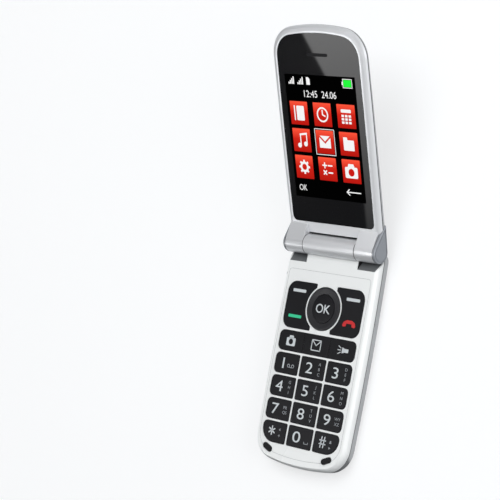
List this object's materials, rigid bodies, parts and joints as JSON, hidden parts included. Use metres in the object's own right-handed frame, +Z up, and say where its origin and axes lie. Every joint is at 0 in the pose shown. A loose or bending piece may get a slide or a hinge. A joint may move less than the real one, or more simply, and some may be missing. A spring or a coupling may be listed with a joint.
{
  "type": "flip phone",
  "caption": "Flip phone lying open on its back, with large separate number keys, a ring for navigation between two rockers, and a lid with a tall display on a barrel hinge.",
  "frame": {"origin": "middle of the base's back, on the surface that the phone lies on", "axes": "+X to the phone's right as its keys are read, +Y from the free end of the base to the hinge, +Z up out of the keys"},
  "size_m": [0.0572, 0.1987, 0.0492],
  "materials": {
    "face_white": "glossy cool white",
    "shell_silver": "satin silver lacquer",
    "lid_silver": "satin silver lacquer",
    "hinge_silver": "polished silver lacquer",
    "key_black": "semi-gloss black",
    "ring_dark": "semi-gloss dark grey",
    "window_black": "high-gloss black",
    "screen": "lit display",
    "board_green": "solder mask",
    "film": "amber film",
    "mat_grey": "matt",
    "bumper": "matt black",
    "steel": "pressed steel",
    "contact_gold": "gold plated",
    "cell": "dark film over a metal can",
    "part_dark": "matt black",
    "lens": "dark glass",
    "led": "milky"
  },
  "bodies": {
    "base": {"base_back_shell": "shell_silver", "base_front_housing": "face_white", "keypad_panel": "face_white", "hinge_barrel": "hinge_silver", "main_board": "board_green", "dome_sheet": "steel", "keypad_mat": "mat_grey", "battery": "cell", "battery_contacts": "contact_gold", "sim_card_holder": "steel", "memory_card_slot": "steel", "shield_cans": "steel", "loudspeaker": "part_dark", "microphone": "steel", "camera_module": "part_dark", "camera_window": "lens", "torch_led": "led", "usb_port": "steel", "headset_jack": "part_dark", "antenna": "film", "base_screws": "steel", "rest_bumpers": "bumper", "hinge_cam_shaft": "steel", "hinge_flex": "film"},
    "lid": {"lid_back_cover": "lid_silver", "lid_front_frame": "lid_silver", "display_window": "window_black", "lcd_panel": "screen", "lcd_frame": "steel", "lid_board": "board_green", "lid_flex": "film", "earpiece_speaker": "part_dark", "earpiece_mesh": "steel", "vibration_motor": "steel", "hall_magnet": "steel", "hinge_caps": "hinge_silver", "hinge_cartridge": "steel", "hinge_spring": "steel", "hinge_pivot_sleeve": "steel"},
    "battery_cover": {"battery_cover": "shell_silver"},
    "key_0": {"key_0": "key_black"},
    "key_1": {"key_1": "key_black"},
    "key_2": {"key_2": "key_black"},
    "key_3": {"key_3": "key_black"},
    "key_4": {"key_4": "key_black"},
    "key_5": {"key_5": "key_black"},
    "key_6": {"key_6": "key_black"},
    "key_7": {"key_7": "key_black"},
    "key_8": {"key_8": "key_black"},
    "key_9": {"key_9": "key_black"},
    "key_star": {"key_star": "key_black"},
    "key_hash": {"key_hash": "key_black"},
    "key_camera": {"key_camera": "key_black"},
    "key_message": {"key_message": "key_black"},
    "key_torch": {"key_torch": "key_black"},
    "rocker_left": {"rocker_left": "key_black"},
    "rocker_right": {"rocker_right": "key_black"},
    "nav_pad": {"nav_pad": "steel"},
    "nav_ring": {"nav_ring": "ring_dark"},
    "ok_key": {"ok_key": "key_black"}
  },
  "joints": [
    {"name": "lid_hinge", "type": "hinge", "parent": "base", "child": "lid", "pos_m": [0, 0.051, 0.0095], "axis": [1, 0, 0], "range_deg": [0, 156.4]},
    {"name": "cover_slide", "type": "slide", "parent": "base", "child": "battery_cover", "axis": [0, -1, 0], "range_m": [0, 0.006]},
    {"name": "key_0_press", "type": "slide", "parent": "base", "child": "key_0", "axis": [0, 0, -1], "range_m": [0, 0.0004], "stiffness_N_per_m": 400, "springref_m": -0.0002},
    {"name": "key_1_press", "type": "slide", "parent": "base", "child": "key_1", "axis": [0, 0, -1], "range_m": [0, 0.0004], "stiffness_N_per_m": 400, "springref_m": -0.0002},
    {"name": "key_2_press", "type": "slide", "parent": "base", "child": "key_2", "axis": [0, 0, -1], "range_m": [0, 0.0004], "stiffness_N_per_m": 400, "springref_m": -0.0002},
    {"name": "key_3_press", "type": "slide", "parent": "base", "child": "key_3", "axis": [0, 0, -1], "range_m": [0, 0.0004], "stiffness_N_per_m": 400, "springref_m": -0.0002},
    {"name": "key_4_press", "type": "slide", "parent": "base", "child": "key_4", "axis": [0, 0, -1], "range_m": [0, 0.0004], "stiffness_N_per_m": 400, "springref_m": -0.0002},
    {"name": "key_5_press", "type": "slide", "parent": "base", "child": "key_5", "axis": [0, 0, -1], "range_m": [0, 0.0004], "stiffness_N_per_m": 400, "springref_m": -0.0002},
    {"name": "key_6_press", "type": "slide", "parent": "base", "child": "key_6", "axis": [0, 0, -1], "range_m": [0, 0.0004], "stiffness_N_per_m": 400, "springref_m": -0.0002},
    {"name": "key_7_press", "type": "slide", "parent": "base", "child": "key_7", "axis": [0, 0, -1], "range_m": [0, 0.0004], "stiffness_N_per_m": 400, "springref_m": -0.0002},
    {"name": "key_8_press", "type": "slide", "parent": "base", "child": "key_8", "axis": [0, 0, -1], "range_m": [0, 0.0004], "stiffness_N_per_m": 400, "springref_m": -0.0002},
    {"name": "key_9_press", "type": "slide", "parent": "base", "child": "key_9", "axis": [0, 0, -1], "range_m": [0, 0.0004], "stiffness_N_per_m": 400, "springref_m": -0.0002},
    {"name": "key_star_press", "type": "slide", "parent": "base", "child": "key_star", "axis": [0, 0, -1], "range_m": [0, 0.0004], "stiffness_N_per_m": 400, "springref_m": -0.0002},
    {"name": "key_hash_press", "type": "slide", "parent": "base", "child": "key_hash", "axis": [0, 0, -1], "range_m": [0, 0.0004], "stiffness_N_per_m": 400, "springref_m": -0.0002},
    {"name": "key_camera_press", "type": "slide", "parent": "base", "child": "key_camera", "axis": [0, 0, -1], "range_m": [0, 0.0004], "stiffness_N_per_m": 400, "springref_m": -0.0002},
    {"name": "key_message_press", "type": "slide", "parent": "base", "child": "key_message", "axis": [0, 0, -1], "range_m": [0, 0.0004], "stiffness_N_per_m": 400, "springref_m": -0.0002},
    {"name": "key_torch_press", "type": "slide", "parent": "base", "child": "key_torch", "axis": [0, 0, -1], "range_m": [0, 0.0004], "stiffness_N_per_m": 400, "springref_m": -0.0002},
    {"name": "ok_key_press", "type": "slide", "parent": "base", "child": "ok_key", "axis": [0, 0, -1], "range_m": [0, 0.0004], "stiffness_N_per_m": 400, "springref_m": -0.0002},
    {"name": "rocker_left_tilt", "type": "hinge", "parent": "base", "child": "rocker_left", "pos_m": [0, 0.02215, 0.0075], "axis": [1, 0, 0], "range_deg": [-1, 1], "stiffness_Nm_per_rad": 0.6},
    {"name": "rocker_right_tilt", "type": "hinge", "parent": "base", "child": "rocker_right", "pos_m": [0, 0.02215, 0.0075], "axis": [1, 0, 0], "range_deg": [-1, 1], "stiffness_Nm_per_rad": 0.6},
    {"name": "nav_pad_tilt", "type": "hinge", "parent": "base", "child": "nav_pad", "pos_m": [0, 0.02215, 0.0074], "axis": [1, 0, 0], "range_deg": [-1, 1], "stiffness_Nm_per_rad": 0.6},
    {"name": "nav_ring_tilt", "type": "hinge", "parent": "nav_pad", "child": "nav_ring", "pos_m": [0, 0.02215, 0.00785], "axis": [0, 1, 0], "range_deg": [-1, 1], "stiffness_Nm_per_rad": 0.6}
  ]
}
